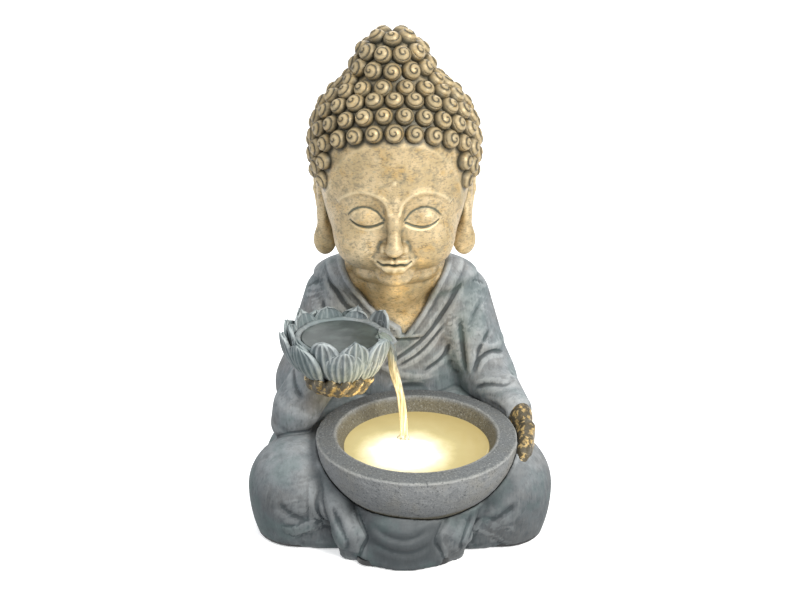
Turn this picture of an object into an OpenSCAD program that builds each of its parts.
// Seated figure fountain: a hollow cast figure holds a lotus cup that pours into a lit basin in its lap.
// A pump under the basin's perforated cover lifts the water through a hose in the figure's right arm.
// Frame: origin under the middle of the figure, +Z up, the figure faces -Y. Millimetres.

/* [Casting] */
// Wall of the cast figure and head
wall = 5.5; // [5:0.5:6]
// Gap left for adhesive between two castings
glue_gap = 0.5; // [0.4:0.1:0.6]

/* [Basin] */
// Outer radius of the lap basin at its rim
basin_r = 81; // [80:0.5:82]
// Height of the basin's rim above the table
rim_z = 86; // [85:0.5:87]
// Wall of the basin
basin_wall = 6.5; // [6:0.5:7]

/* [Lotus cup] */
// Inner radius of the lotus cup at its brim
cup_r = 32; // [31:0.5:33]
// Number of petals round the cup
petals = 9; // [8:1:10]

/* [Water circuit] */
// Outer radius of the hose
hose_r = 4.5; // [4.5:0.1:4.7]
// Bore radius of the hose
hose_bore_r = 3; // [2.8:0.1:3.2]
// Number of impeller blades
blades = 6; // [4:1:8]

/* [Openings] */
// Width of the service door in the back
door_w = 66; // [62:1:68]
// Height of the service door
door_h = 52; // [48:1:54]

/* [Hidden] */
grain = 22; // facets of the organic masses
grain_in = 14; // facets of the hollows inside them
fine = 64; // facets of the widest round parts
middling = 48; // facets of middling round parts
small = 32; // facets of small round parts
hole = 24; // facets of narrow holes

// Heights and places that several parts share
base_z = 1.2; // underside of the casting, just above the feet's soles
plate_top = 6.5;
basin_c = [13.5, -36, 0];
basin_depth = 64.5; // drop of the basin's outer bowl below its rim
basin_foot_r = 26;
basin_floor = 34;
ledge_z = 62;
cover_t = 2.5;
cover_r = 52;
cup_c = [-47, -20, 0];
cup_floor = 147;
barb_z = 121; // height of the side barb under the cup
barb_turn = 139; // direction of the side barb
cup_base = 131;
brim_z = 168;
neck_c = [-4, 60, 0];
neck_r = 31;
pump_y = -38;
pump_z = 48;
pump_x = 24; // front face of the motor body
motor = [27, 25, 22];
led_c = [6, -20, 0];
led_r = 12;
led_z = 59;
door_y = 109; // outer face of the service door
door_z = 44; // height of the door's middle
inlet_c = [58, 0, 22];
inlet_y = 106; // outer face of the wall that holds the power inlet

robe = "slategray";
gilt = "darkgoldenrod";
stone = "dimgray";
black = [0.1, 0.1, 0.1];
white = "ivory";
steel = "silver";

screw_r = 1.5; // thread of the base screws
screw_head_r = 3.8;
shaft_r = 1; // ceramic shaft of the pump
shaft_bore_r = 1.02;
barb_bore_r = 1.9; // bores of the two hose barbs
pump_case_r = 10.8; // volute and strainer
outlet_x = pump_x - 5.5; // the pump's outlet, along X
outlet_z = pump_z + 5;
motor_foot_z = pump_z - motor[2] / 2;
hose_wall_z = 53; // height at which the hose leaves the basin
lead_wall = [40, 52]; // place and height at which the leads leave the basin

// ---- places that several parts share ----
module at_basin(z) translate([basin_c[0], basin_c[1], z]) children();

module at_cup(z) translate([cup_c[0], cup_c[1], z]) children();

module at_neck(z) translate([neck_c[0], neck_c[1], z]) children();

module at_led(z) translate([led_c[0], led_c[1], z]) children();

module at_inlet(y) translate([inlet_c[0], y, inlet_c[2]]) rotate([-90, 0, 0]) children();

module at_each(places, z) for (p = places) translate([p[0], p[1], z]) children();

module at_door_corners(y)
    for (s = door_corners()) translate([s[0], y, s[1]]) rotate([-90, 0, 0]) children();

module at_outlet(y) translate([outlet_x, y, outlet_z]) rotate([-90, 0, 0]) children();

// ---- organic masses, each a centre and three radii ----
shoulder_l = [[50, 78, 158], [27, 27, 30]];
elbow_l = [[84, 62, 92], [25, 27, 27]];
cuff_l = [[99, 8, 88], [14, 16, 17]];
shoulder_r = [[-56, 78, 156], [28, 27, 30]];
elbow_r = [[-82, 54, 92], [26, 28, 27]];
cuff_r = [[-70, 2, 114], [17, 17, 17]];
sleeve_r = [[-86, 8, 80], [15, 18, 16]];
chest = [[-3, 80, 118], [62, 37, 52]];
collar = [[-4, 80, 164], [58, 34, 28]];
nape = [[-4, 64, 186], [38, 36, 14]];
belly = [[2, 74, 62], [78, 43, 60]];
hip_r = 50; // radius of the hips in plan
knee_place = [82, -36];
knee_foot_r = 41;
skull = [[-4.4, 47, 296], [68, 67, 68]];
jaw = [[-4.4, 26, 246], [49, 44, 37]];
topknot = [[-6, 50, 369], [33, 34, 31]];

module mass(m, inset = 0)
    translate(m[0]) scale(m[1] - [inset, inset, inset]) sphere(1, $fn = inset > 0 ? grain_in : grain);

// Plan of the figure where it meets the table, with an inset for the wall
module plan_circle(x, y, r, inset) translate([x, y]) circle(r - inset, $fn = grain + 6);

module hips_plan(inset) hull() for (s = [-1, 1]) plan_circle(s * 48, 64, hip_r, inset);

module leg_plan(s, inset) hull() {
    plan_circle(s * 46, 62, hip_r - 2, inset);
    plan_circle(s * knee_place[0], knee_place[1], knee_foot_r, inset);
}

module shins_plan(inset) hull() for (s = [-1, 1]) plan_circle(s * 70, -38, 36, inset);

module drape_plan(inset) hull() {
    plan_circle(-24, -89, 16, inset);
    plan_circle(30, -87.5, 16, inset);
    plan_circle(6, -84.6, 24, inset);
    for (s = [-1, 1]) plan_circle(4 + s * 28, -60, 18, inset);
}

module base_shape(inset) {
    hips_plan(inset);
    leg_plan(-1, inset);
    leg_plan(1, inset);
    shins_plan(inset);
    drape_plan(inset);
    translate([-60, -50]) square([120, 110]);
}

module slab() translate([0, 0, -1]) linear_extrude(9) children();

// Outer form of the robe, or with an inset the hollow inside its wall
module robe_form(inset = 0) {
    hull() { mass(belly, inset); mass(chest, inset); }
    hull() {
        mass(chest, inset + 0.4);
        mass(collar, inset);
        mass(shoulder_l, inset);
        mass(shoulder_r, inset);
    }
    hull() { mass(collar, inset + 0.4); mass(nape, inset); }
    hull() { mass(shoulder_l, inset + 0.4); mass(elbow_l, inset); }
    hull() { mass(elbow_l, inset + 0.4); mass(cuff_l, inset); }
    hull() { mass(shoulder_r, inset + 0.4); mass(elbow_r, inset); }
    hull() { mass(elbow_r, inset + 0.4); mass(cuff_r, inset); }
    hull() {
        mass([elbow_r[0], [20, 20, 20]], inset);
        mass([cuff_r[0], [13, 13, 13]], inset);
        mass(sleeve_r, inset);
    }
    hull() {
        slab() hips_plan(inset);
        for (s = [-1, 1]) mass([[s * 48, 64, 40], [56, 50, 46]], inset);
    }
    for (s = [-1, 1]) hull() {
        slab() leg_plan(s, inset);
        mass([[s * 46, 62, 39], [54, 48, 44]], inset);
        mass([[s * knee_place[0], knee_place[1] + 3, 41], [42, 44, 43]], inset);
    }
    hull() {
        slab() shins_plan(inset);
        for (s = [-1, 1]) mass([[s * 62, -30, 34], [38, 40, 34]], inset);
    }
    hull() {
        slab() drape_plan(inset);
        for (s = [-1, 1]) mass([[4 + s * 24, -62, 34], [22, 22, 22]], inset);
    }
}

// Radius of the basin's outer bowl at a height
function basin_outer(z) = basin_r * sqrt(max(0, 1 - pow((rim_z - z) / basin_depth, 2)));
foot_top = rim_z - basin_depth * sqrt(1 - pow(basin_foot_r / basin_r, 2));
function outer_steps(n) = [for (i = [0:n]) foot_top + (rim_z - 3 - foot_top) * i / n];
inner_steps = [for (i = [0:8]) ledge_z - (ledge_z - basin_floor) * i / 8];
function inner_r(z) = min(cover_r - 2.5, basin_outer(z) - basin_wall);

// Room for the basin in the castings round it
module basin_room() at_basin(0) {
    rotate_extrude($fn = 40) polygon(concat(
        [[0, foot_top - 1]],
        [for (z = outer_steps(12)) [basin_outer(z) + glue_gap + 0.2, z]],
        [[basin_r + glue_gap + 0.2, rim_z + 4], [0, rim_z + 4]]));
    translate([0, 0, 4]) cylinder(r = basin_foot_r + 1.5, h = 24, $fn = small);
}

// ---- castings ----
module door_opening(w, h, y0, y1) {
    translate([0, y1, door_z]) rotate([90, 0, 0])
        linear_extrude(y1 - y0) offset(6, $fn = small) square([w - 12, h - 12], center = true);
}

module figure_shell() color(robe) {
    difference() {
        robe_form();
        difference() {
            union() {
                robe_form(wall);
                translate([-60, -50, -1]) cube([120, 110, 51]);
            }
            // land that carries the door's frame and the inlet's flat wall
            translate([-50, door_y - 14, 0]) cube([128, 30, door_z + door_h / 2 + 12]);
            at_each(screw_places, 0) cylinder(r = 7, h = 24, $fn = grain);
        }
        at_each(screw_places, 0) cylinder(r = screw_r + 0.1, h = 17, $fn = 16);
        translate([-200, -200, -50]) cube([400, 400, 50 + base_z]);
        // the base plate drops into the foot of the casting
        translate([0, 0, -1]) linear_extrude(plate_top + 1.4) base_shape(wall - 0.4);
        // seat of the basin and its mouth
        basin_room();
        // socket of the neck and bust
        at_neck(150) cylinder(r = neck_r + glue_gap, h = 80, $fn = fine);
        bust_form(glue_gap);
        // the cup's hand and the basin's hand are set into the cuffs
        palm_r_form(glue_gap);
        palm_l_form(glue_gap);
        // service door: recess for the plate, a smaller way in, and four holes for the inserts
        door_opening(door_w + 1, door_h + 1, door_y - 4.6, door_y + 30);
        door_opening(door_w - 16, door_h - 16, door_y - 40, door_y + 30);
        at_door_corners(door_y - 13) cylinder(r = 2.7, h = 12, $fn = hole);
        // flat land and hole of the power inlet
        at_inlet(inlet_y) cylinder(r = 10, h = 40, $fn = fine);
        at_inlet(inlet_y - 60) cylinder(r = 5.3, h = 80, $fn = fine);
        at_inlet(inlet_y - 44) cylinder(r = 11, h = 40, $fn = fine);
        // way for the hose through the right forearm, and for hose and leads behind the basin
        hose_way();
    }
}

// Clear way round the hose from behind the basin to the cup's inlet
module hose_way() for (i = [7:len(hose_points) - 2]) hull()
    for (k = [0, 1]) translate(hose_points[i + k]) sphere(hose_r + 2.2, $fn = 10);

// Gilded skin that shows in the collar's V, in one casting with the head
module bust_form(grow = 0) {
    hull() {
        translate([-3, 52, 176]) scale([28 + grow, 20 + grow, 16 + grow]) sphere(1, $fn = grain);
        translate([0, 56, 152]) scale([9 + grow, 15 + grow, 9 + grow]) sphere(1, $fn = grain);
    }
}

module head_form(inset = 0) {
    hull() { mass(skull, inset); mass(jaw, inset); }
    hull() { mass(topknot, inset); mass([[-5, 50, 340], [46, 46, 22]], inset); }
}

module ear(side) {
    hull() {
        translate([skull[0][0] + side * 61, 52, 264]) scale([5, 10, 13]) sphere(1, $fn = 20);
        translate([skull[0][0] + side * 58, 46, 221]) scale([7, 8, 8]) sphere(1, $fn = 20);
    }
}

module head_shell() color(gilt) {
    difference() {
        union() {
            head_form();
            ear(-1);
            ear(1);
            at_neck(152) cylinder(r = neck_r, h = 70, $fn = fine);
            bust_form();
            hull() {
                mass([[-4, 56, 232], [46, 46, 24]]);
                at_neck(194) cylinder(r = neck_r, h = 6, $fn = grain);
                mass([[-4, 48, 196], [33, 30, 8]]);
            }
        }
        head_form(wall);
        at_neck(140) cylinder(r = neck_r - wall, h = 110, $fn = fine);
    }
}

// ---- hands ----
module finger(points, r) for (i = [0:len(points) - 2]) hull() {
    translate(points[i]) sphere(r * (1 - 0.1 * i), $fn = 12);
    translate(points[i + 1]) sphere(r * (1 - 0.1 * (i + 1)), $fn = 12);
}

module palm_r_form(grow = 0) hull() {
    translate([-51.5, -20, 123]) scale([26 + grow, 25 + grow, 13 + grow]) sphere(1, $fn = grain);
    translate([-67, -4, 117]) scale([12 + grow, 12 + grow, 12 + grow]) sphere(1, $fn = grain);
}

module right_hand() color(gilt) {
    difference() {
        union() {
            palm_r_form();
            for (i = [0:3]) finger([[-66 + i * 9, -36, 121 + i], [-65 + i * 10, -48, 127 + i],
                [-64 + i * 11, -53, 136 + i]], 5.5);
            finger([[-72, -14, 124], [-84, -24, 132], [-86, -30, 142]], 6);
        }
        cup_room();
        at_cup(114) cylinder(r = 8.2, h = 40, $fn = fine);
        hose_way();
        difference() { robe_form(); palm_r_form(0.1); }
    }
}

module palm_l_form(grow = 0) {
    hull() {
        translate([101, -2, 84]) scale([9 + grow, 14 + grow, 12 + grow]) sphere(1, $fn = grain);
        translate([100, -20, 74]) scale([8 + grow, 12 + grow, 12 + grow]) sphere(1, $fn = grain);
    }
}

module left_hand() color(gilt) {
    difference() {
        union() {
            palm_l_form();
            for (i = [0:3]) finger([[101, -18 - i * 4, 84 - i * 7], [97, -32 - i * 2, 78 - i * 7],
                [91, -43 - i, 72 - i * 6.5]], 4.6);
        }
        basin_room();
        at_basin(rim_z) cylinder(r = basin_r + glue_gap + 0.2, h = 40, $fn = middling);
        difference() { robe_form(); palm_l_form(0.1); }
    }
}

// ---- basin and its cover ----
module lap_basin() color(stone) {
    difference() {
        translate(basin_c) union() {
            rotate_extrude($fn = fine) polygon(concat(
                [[0, foot_top + 1]],
                [for (z = outer_steps(12)) [basin_outer(z), z]],
                [[basin_r, rim_z - 1.5], [basin_r - 1.5, rim_z], [67, rim_z + 1.6], [65.4, rim_z + 1.2]],
                [[64.6, rim_z], [59.4, 77], [54.4, ledge_z], [inner_r(ledge_z), ledge_z]],
                [for (z = inner_steps) [inner_r(z), z]],
                [[0, basin_floor]]));
            translate([0, 0, plate_top]) difference() {
                cylinder(r = basin_foot_r, h = foot_top - plate_top + 3, $fn = fine);
                translate([0, 0, -1]) cylinder(r = basin_foot_r - 7, h = foot_top - plate_top, $fn = fine);
            }
        }
        // sealed ways for the hose and the leads
        translate([basin_c[0], 0, hose_wall_z]) rotate([-90, 0, 0]) cylinder(r = 7, h = 60, $fn = fine);
        translate([lead_wall[0], 0, lead_wall[1]]) rotate([-90, 0, 0]) cylinder(r = 5, h = 60, $fn = fine);
    }
}

module basin_cover() color(stone) {
    at_basin(ledge_z) difference() {
        cylinder(r = cover_r, h = cover_t, $fn = fine);
        translate([led_c[0] - basin_c[0], led_c[1] - basin_c[1], -1])
            cylinder(r = led_r + 1.2, h = 5, $fn = fine);
        for (r = [22, 34, 45], a = [0:360 / (r - 4) * 2:359]) rotate(a) translate([r, 0, -1])
            if (norm([r * cos(a) + basin_c[0] - led_c[0], r * sin(a) + basin_c[1] - led_c[1]]) > led_r + 6)
                cylinder(r = 2, h = 5, $fn = 16);
        // finger notches
        for (a = [-90, 90]) rotate(a) translate([cover_r, 0, -1]) cylinder(r = 7, h = 5, $fn = small);
    }
}

// ---- lotus cup ----
module cup_solid() at_cup(0) rotate_extrude($fn = middling)
    polygon([[0, cup_base], [14, cup_base], [30, cup_base + 14], [cup_r + 4, brim_z - 1], [0, brim_z - 1]]);

// Room for the cup and its petals in the hand
module cup_room() at_cup(0) rotate_extrude($fn = small)
    polygon([[0, cup_base - 0.4], [28.5, cup_base - 0.4], [40, cup_base + 14], [43, brim_z], [0, brim_z]]);

module petal() {
    hull() {
        translate([20, 0, cup_base + 3]) scale([5, 7, 3]) sphere(1, $fn = 12);
        translate([32, 0, cup_base + 16]) scale([3.5, 13, 8]) sphere(1, $fn = 14);
    }
    hull() {
        translate([32, 0, cup_base + 16]) scale([3.5, 13, 8]) sphere(1, $fn = 14);
        translate([37.5, 0, brim_z - 5]) scale([2.2, 8, 4]) sphere(1, $fn = 12);
        translate([39, 0, brim_z + 2]) scale([1.6, 3, 2.5]) sphere(1, $fn = 10);
    }
}

module lotus_cup() color(robe) {
    difference() {
        union() {
            cup_solid();
            translate(cup_c) for (i = [1:petals]) rotate(i * 360 / (petals + 1)) petal();
            // pouring lip, a petal that bends down
            hull() {
                translate(cup_c + [30, 0, 159]) scale([5, 11, 8]) sphere(1, $fn = 16);
                translate(cup_c + [38, -2, 150]) scale([3.5, 6, 5]) sphere(1, $fn = 16);
            }
        }
        translate(cup_c + [0, 0, cup_floor])
            cylinder(r1 = cup_r - 9, r2 = cup_r, h = brim_z - cup_floor, $fn = fine);
        translate(cup_c + [0, 0, brim_z - 3.5])
            cylinder(r1 = cup_r - 0.5, r2 = cup_r + 4.6, h = 14, $fn = fine);
        // channel of the lip
        hull() {
            translate(cup_c + [24, 0, 164]) sphere(5.5, $fn = 16);
            translate(cup_c + [46, -2, 157]) sphere(4.5, $fn = 16);
            translate(cup_c + [34, 0, 182]) sphere(6, $fn = 16);
        }
        at_cup(120) cylinder(r = 4.2, h = 50, $fn = hole);
        // recess for the inlet's nut under the cup
        at_cup(cup_base - 1) cylinder(r = 7.6, h = 9, $fn = small);
    }
}

// Threaded elbow through the cup's floor, with the hose pushed on its side barb
module cup_inlet_fitting() color(black) at_cup(0) difference() {
    union() {
        translate([0, 0, cup_floor]) cylinder(r = 7, h = 2, $fn = small);
        translate([0, 0, barb_z - 4]) cylinder(r = 4, h = cup_floor - barb_z + 4.5, $fn = small);
        barb_side() cylinder(r = 3.7, h = 7.5, $fn = small);
        barb_side() cylinder(r = hose_bore_r - 0.05, h = 17, $fn = small);
    }
    translate([0, 0, barb_z - 1.5]) cylinder(r = 2, h = 60, $fn = hole);
    barb_side() cylinder(r = barb_bore_r, h = 30, $fn = hole);
}

module barb_side() translate([0, 0, barb_z]) rotate([0, 90, barb_turn]) children();

module cup_inlet_washer() color(black) at_cup(cup_base + 6.2) ring(6.8, 4.05, 1.8);

module cup_inlet_nut() color(black) at_cup(cup_base + 1.1) difference() {
    cylinder(r = 6.8, h = 5, $fn = 6);
    translate([0, 0, -1]) cylinder(r = 4.05, h = 8, $fn = small);
}

// ---- base ----
// Places in plan of the feet and of the screws that hold the base plate
foot_places = [[-80, -40], [80, -40], [56, 76], [-56, 76], [5, -86]];
screw_places = [[-111, -30], [111, -30], [87, 66], [-87, 66], [-52, -62], [52, -62]];

module base_plate() color(black) {
    difference() {
        translate([0, 0, base_z + 0.8]) linear_extrude(plate_top - base_z - 0.8) base_shape(wall);
        at_each(screw_places, 0) cylinder(r = screw_r + 0.4, h = 20, $fn = 20);
        at_each(screw_places, 0) cylinder(r = screw_head_r + 0.4, h = base_z + 2.2, $fn = hole);
        at_each(foot_places, 0) cylinder(r = 8.2, h = base_z + 1.6, $fn = fine);
    }
}

module base_screws() color(steel) at_each(screw_places, base_z + 0.4) {
    difference() {
        cylinder(r = screw_head_r, h = 1.8, $fn = small);
        for (a = [0, 90]) rotate(a) translate([-2.2, -0.4, -1]) cube([4.4, 0.8, 1.9]);
    }
    translate([0, 0, 1.7]) cylinder(r = screw_r, h = 7, $fn = 20);
}

module rubber_feet() color(black) at_each(foot_places, 0) {
    cylinder(r = 7.8, h = base_z + 1.6, $fn = middling);
}

// ---- service door in the back ----
function door_corners() =
    [for (x = [-1, 1], z = [-1, 1]) [x * (door_w / 2 - 6), door_z + z * (door_h / 2 - 6)]];

module service_door() color(robe) difference() {
    door_opening(door_w, door_h, door_y - 3, door_y);
    at_door_corners(door_y - 5) cylinder(r = 2, h = 20, $fn = hole);
    at_door_corners(door_y - 1.6) cylinder(r = 3.6, h = 4, $fn = small);
    // finger pull
    translate([0, door_y + 6, door_z]) sphere(9, $fn = middling);
}

module door_gasket() color(black) difference() {
    door_opening(door_w - 1, door_h - 1, door_y - 4.3, door_y - 3.1);
    door_opening(door_w - 9, door_h - 9, door_y - 8, door_y);
    at_door_corners(door_y - 8) cylinder(r = 2.4, h = 10, $fn = hole);
}

module door_screws() color(steel) at_door_corners(door_y - 1.6) {
    difference() {
        cylinder(r = 3.3, h = 1.5, $fn = small);
        for (a = [0, 90]) rotate(a) translate([-2, -0.35, 0.6]) cube([4, 0.7, 2]);
    }
    translate([0, 0, -7]) cylinder(r = 1.4, h = 7.1, $fn = 20);
}

module door_inserts() color("goldenrod") at_door_corners(door_y - 12)
    ring(2.6, 1.6, 7);

// ---- light ----
module ring(outer, inner, h) difference() {
    cylinder(r = outer, h = h, $fn = middling);
    translate([0, 0, -1]) cylinder(r = inner, h = h + 2, $fn = middling);
}

module led_housing() color(white) at_led(led_z) difference() {
    cylinder(r = led_r, h = 8, $fn = fine);
    translate([0, 0, 2]) cylinder(r = led_r - 2, h = 10, $fn = fine);
    translate([-8, 0, -1]) cylinder(r = 1.9, h = 6, $fn = hole);
}

module led_board() color("white") at_led(led_z + 3) difference() {
    cylinder(r = led_r - 2.3, h = 1.2, $fn = middling);
    translate([-8, 0, -1]) cylinder(r = 1.4, h = 4, $fn = hole);
}

module led_emitters() color("yellow") at_led(led_z + 4.2)
    for (a = [0:60:359]) rotate(a + 30) translate([5.2, 0, 0.5]) cube([2.8, 2.8, 1], center = true);

module led_seal() color(black) at_led(led_z + 5.4) ring(led_r - 2.1, led_r - 3.6, 1);

module led_lens() color([0.9, 0.9, 0.8]) at_led(led_z + 6.5) difference() {
    union() {
        cylinder(r = led_r - 2.1, h = 1.5, $fn = fine);
        translate([0, 0, 1.5]) intersection() {
            translate([0, 0, -14]) sphere(17, $fn = fine);
            cylinder(r = led_r - 2.4, h = 6, $fn = fine);
        }
    }
    translate([0, 0, -0.1]) cylinder(r = led_r - 5, h = 1.2, $fn = fine);
}

module led_post() color(black) at_led(basin_floor) {
    cylinder(r1 = 7, r2 = 4, h = 4, $fn = middling);
    cylinder(r = 3, h = led_z - basin_floor, $fn = small);
    translate([0, 0, led_z - basin_floor - 2]) cylinder(r = 6, h = 2, $fn = middling);
}

// ---- pump: rotor axis along X, intake at -X, outlet along +Y ----
module along_x(x) translate([x, pump_y, pump_z]) rotate([0, 90, 0]) children();

module pump_motor_body() color(black) difference() {
    translate([pump_x, pump_y - motor[1] / 2, motor_foot_z]) rotate([90, 0, 90])
        linear_extrude(motor[0]) translate([2, 2])
            offset(2, $fn = hole) square([motor[1] - 4, motor[2] - 4]);
    along_x(pump_x - 1) cylinder(r = 6.3, h = 23, $fn = middling);
    along_x(pump_x + 21) cylinder(r = 3, h = 3, $fn = small);
    translate([pump_x + motor[0] - 6, pump_y + 6, pump_z + 4]) rotate([0, 90, 0])
        cylinder(r = 1.9, h = 8, $fn = hole);
    at_each(pump_feet, motor_foot_z - 1) cylinder(r = 1.6, h = 4, $fn = hole);
}

module pump_volute() color(black) difference() {
    union() {
        along_x(pump_x - 11) cylinder(r = pump_case_r, h = 11, $fn = fine);
        at_outlet(pump_y) cylinder(r = 4.6, h = 12, $fn = middling);
        at_outlet(pump_y + 10) cylinder(r = hose_bore_r - 0.05, h = 14, $fn = middling);
    }
    along_x(pump_x - 9) cylinder(r = 9.3, h = 12, $fn = fine);
    along_x(pump_x - 12) difference() {
        cylinder(r = 5, h = 6, $fn = middling);
        cylinder(r = 2.2, h = 3, $fn = small);
        for (a = [0:120:359]) rotate(a) translate([0, -0.7, 0]) cube([6, 1.4, 3]);
    }
    along_x(pump_x - 10.5) cylinder(r = 1.4, h = 3, $fn = small);
    at_outlet(pump_y + 6) cylinder(r = barb_bore_r, h = 40, $fn = small);
}

module intake_slots(h) for (a = [0:45:359]) rotate(a) translate([3.4, -0.9, 0]) cube([5, 1.8, h]);

module pump_strainer() color(black) difference() {
    along_x(pump_x - 15) cylinder(r = pump_case_r, h = 3.7, $fn = fine);
    along_x(pump_x - 13.5) cylinder(r = 9.6, h = 5, $fn = fine);
    along_x(pump_x - 16) intake_slots(6);
    along_x(pump_x - 16) cylinder(r = 1.55, h = 6, $fn = small);
}

// Shutter that turns over the strainer's slots to throttle the flow
module flow_dial() color("gray") difference() {
    union() {
        along_x(pump_x - 16.6) cylinder(r = 9.4, h = 1.2, $fn = fine);
        along_x(pump_x - 16.4) cylinder(r = 1.5, h = 3.6, $fn = small);
        along_x(pump_x - 16.6) translate([-12, -1.5, 0]) cube([4, 3, 1.2]);
    }
    along_x(pump_x - 17) intake_slots(3);
}

module impeller() color("white") difference() {
    union() {
        along_x(pump_x - 3.5) cylinder(r = 4.2, h = 4.5, $fn = middling);
        along_x(pump_x - 7.5) cylinder(r = 3, h = 5, $fn = middling);
        for (i = [0:blades - 1]) along_x(pump_x - 7.5) rotate(i * 360 / blades)
            translate([2, -0.5, 0]) cube([6.3, 1, 6]);
        along_x(pump_x + 1) cylinder(r = 2.3, h = 18.5, $fn = small);
    }
    along_x(pump_x - 9) cylinder(r = 1.05, h = 32, $fn = small);
}

module rotor_magnet() color([0.2, 0.2, 0.2]) along_x(pump_x + 1.2) ring(5.5, 2.35, 17.5);

module pump_shaft() color("snow") along_x(pump_x - 10.4) cylinder(r = shaft_r, h = 34, $fn = small);

module front_shaft_bush() color(black) along_x(pump_x - 10.4) ring(1.35, shaft_bore_r, 2.2);

module rear_shaft_bush() color(black) along_x(pump_x + 21.1) ring(2.9, shaft_bore_r, 2.8);

pump_feet = [for (x = [pump_x + 4, pump_x + motor[0] - 5], s = [-1, 1]) [x, pump_y + s * 7]];

module suction_feet() color(black) at_each(pump_feet, basin_floor) {
    difference() {
        cylinder(r1 = 4, r2 = 1.8, h = motor_foot_z - basin_floor, $fn = small);
        translate([0, 0, -0.01]) cylinder(r1 = 2.6, r2 = 0.4, h = 1.2, $fn = small);
    }
    cylinder(r = 1.5, h = motor_foot_z - basin_floor + 2.4, $fn = hole);
}

// ---- hose and leads ----
function bezier(p, t) =
    pow(1 - t, 3) * p[0] + 3 * pow(1 - t, 2) * t * p[1] + 3 * (1 - t) * t * t * p[2] + t * t * t * p[3];
// A smooth route through the points, n steps between two of them
function route(pts, n) = [for (i = [0:len(pts) - 2], k = [0:n - (i == len(pts) - 2 ? 0 : 1)])
    let (a = pts[max(0, i - 1)], b = pts[i], c = pts[i + 1], d = pts[min(len(pts) - 1, i + 2)])
    bezier([b, b + (c - a) / 6, c - (d - b) / 6, c], k / n)];
function unit(v) = v / norm(v);
function tangent(p, i) = unit(p[min(i + 1, len(p) - 1)] - p[max(i - 1, 0)]);
function side(t) = unit(cross(t, abs(t[2]) < 0.8 ? [0, 0, 1] : [0.3, 1, 0]));
// The side vector is carried along the route, so that the rings don't twist
function carried(p, i) = i == 0 ? side(tangent(p, 0)) :
    let (s = carried(p, i - 1), t = tangent(p, i)) unit(s - t * (s * t));
function ring_points(p, r, sides) = [for (i = [0:len(p) - 1])
    let (t = tangent(p, i), s = carried(p, i), u = cross(t, s))
    for (k = [0:sides - 1]) p[i] + r * (cos(360 * k / sides) * s + sin(360 * k / sides) * u)];

module swept(p, r, sides, bore = 0) {
    n = len(p);
    outer = ring_points(p, r, sides);
    inner = bore > 0 ? ring_points(p, bore, sides) : [];
    m = n * sides;
    walls = [for (i = [0:n - 2], k = [0:sides - 1]) let (j = (k + 1) % sides)
        [i * sides + k, i * sides + j, (i + 1) * sides + j, (i + 1) * sides + k]];
    lining = [for (f = walls) [for (q = [3:-1:0]) f[q] + m]];
    caps = bore > 0
        ? [for (e = [0, n - 1], k = [0:sides - 1]) let (j = (k + 1) % sides, o = e * sides)
            e == 0 ? [o + j, o + k, m + o + k, m + o + j] : [o + k, o + j, m + o + j, m + o + k]]
        : [[for (k = [sides - 1:-1:0]) k], [for (k = [0:sides - 1]) (n - 1) * sides + k]];
    faces = [for (f = concat(walls, bore > 0 ? lining : [], caps)) [for (q = [len(f) - 1:-1:0]) f[q]]];
    polyhedron(concat(outer, inner), faces, convexity = 8);
}

// A place on the barb's axis, d from the cup's axis
function barb_place(d) = [cup_c[0] + d * cos(barb_turn), cup_c[1] + d * sin(barb_turn), barb_z];

// From the pump's outlet, through the basin's wall, up the right forearm to the cup's inlet
hose_points = [[outlet_x, -25.9, outlet_z], [outlet_x, -15, outlet_z], [17, -5, hose_wall_z],
    [13.5, 6, hose_wall_z], [13.5, 14, hose_wall_z], [13.5, 29, hose_wall_z],
    [13, 36, hose_wall_z], [2, 48, 55],
    [-26, 56, 62], [-58, 58, 74], [-78, 48, 88], [-80, 30, 99], [-72, 10, 112],
    barb_place(20.5), barb_place(8)];
hose_path = route(hose_points, 3);

module riser_hose() color("lightgray") swept(hose_path, hose_r, 10, hose_bore_r);

module hose_grommet() color(black)
    translate([basin_c[0], basin_c[1] + 48, hose_wall_z]) rotate([-90, 0, 0]) difference() {
        cylinder(r = 6.9, h = 16, $fn = middling);
        translate([0, 0, -1]) cylinder(r = hose_r + 0.25, h = 20, $fn = middling);
    }

module hose_clip() color(steel) at_outlet(-22) difference() {
    ring(hose_r + 1.1, hose_r + 0.15, 4);
    translate([3, -0.8, -1]) cube([5, 1.6, 8]);
}

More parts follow.
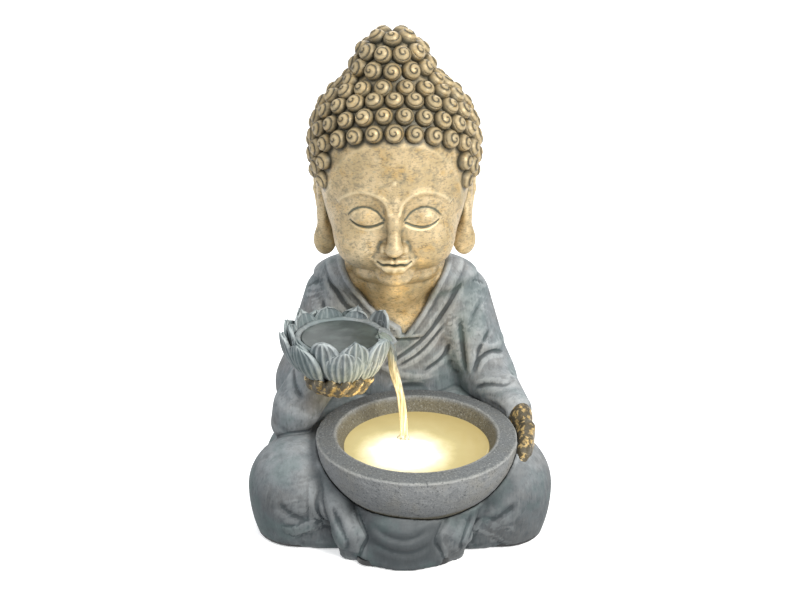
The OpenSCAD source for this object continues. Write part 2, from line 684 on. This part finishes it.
lead_r = 1.6;
pump_lead_points = [[46, -32, 52], [52, -32, 52], [56, -28, 52], [56, -18, 52], [50, -7, 52], [42, 1, 52],
    [41.8, 6, 52], [41.8, 19, 52], [41.8, 24, 52], [41.8, 32, 50],
    [46, 52, 40], [54, 70, 26], [58, 82, 22], [58, 92, 22]];
led_lead_points = [[-2, -20, 61.8], [-2, -20, 54], [0, -16, 44], [8, -6, 40], [20, -2, 42], [31, -2, 48],
    [36.5, 2, 51.5], [38.2, 6.5, 52], [38.2, 10, 52], [38.2, 19, 52], [38.2, 24, 52], [38.2, 32, 50],
    [42, 54, 38], [50, 72, 25], [54, 82, 22], [54, 92, 22]];

module pump_lead() color(black) swept(route(pump_lead_points, 3), lead_r, 8);

module led_lead() color(black) swept(route(led_lead_points, 3), lead_r, 8);

module lead_grommet() color(black)
    translate([lead_wall[0], 6, lead_wall[1]]) rotate([-90, 0, 0]) difference() {
        cylinder(r = 4.9, h = 12, $fn = middling);
        for (s = [-1.8, 1.8]) translate([s, 0, -1]) cylinder(r = lead_r + 0.15, h = 20, $fn = hole);
    }

// ---- power inlet in the back ----
module power_inlet() color(black) at_inlet(inlet_y) difference() {
    union() {
        translate([0, 0, 0.9]) cylinder(r = 7.5, h = 2, $fn = middling);
        translate([0, 0, -13]) cylinder(r = 5, h = 14, $fn = middling);
    }
    translate([0, 0, -8]) cylinder(r = 2.85, h = 20, $fn = middling);
}

module inlet_pin() color(steel) at_inlet(inlet_y - 8) cylinder(r = 1, h = 9, $fn = small);

module inlet_washer() color(black) at_inlet(inlet_y) ring(7.4, 5.1, 0.8);

module inlet_nut() color(steel) at_inlet(inlet_y - 6.6) difference() {
    cylinder(r = 8, h = 2.5, $fn = 6);
    translate([0, 0, -1]) cylinder(r = 5.05, h = 6, $fn = middling);
}

figure_shell();
head_shell();
left_hand();
right_hand();
lap_basin();
lotus_cup();
base_plate();
base_screws();
rubber_feet();
service_door();
door_gasket();
door_screws();
door_inserts();
basin_cover();
led_housing();
led_board();
led_emitters();
led_seal();
led_lens();
led_post();
pump_motor_body();
pump_volute();
pump_strainer();
flow_dial();
impeller();
rotor_magnet();
pump_shaft();
front_shaft_bush();
rear_shaft_bush();
suction_feet();
riser_hose();
hose_grommet();
hose_clip();
cup_inlet_fitting();
cup_inlet_washer();
cup_inlet_nut();
pump_lead();
led_lead();
lead_grommet();
power_inlet();
inlet_pin();
inlet_washer();
inlet_nut();
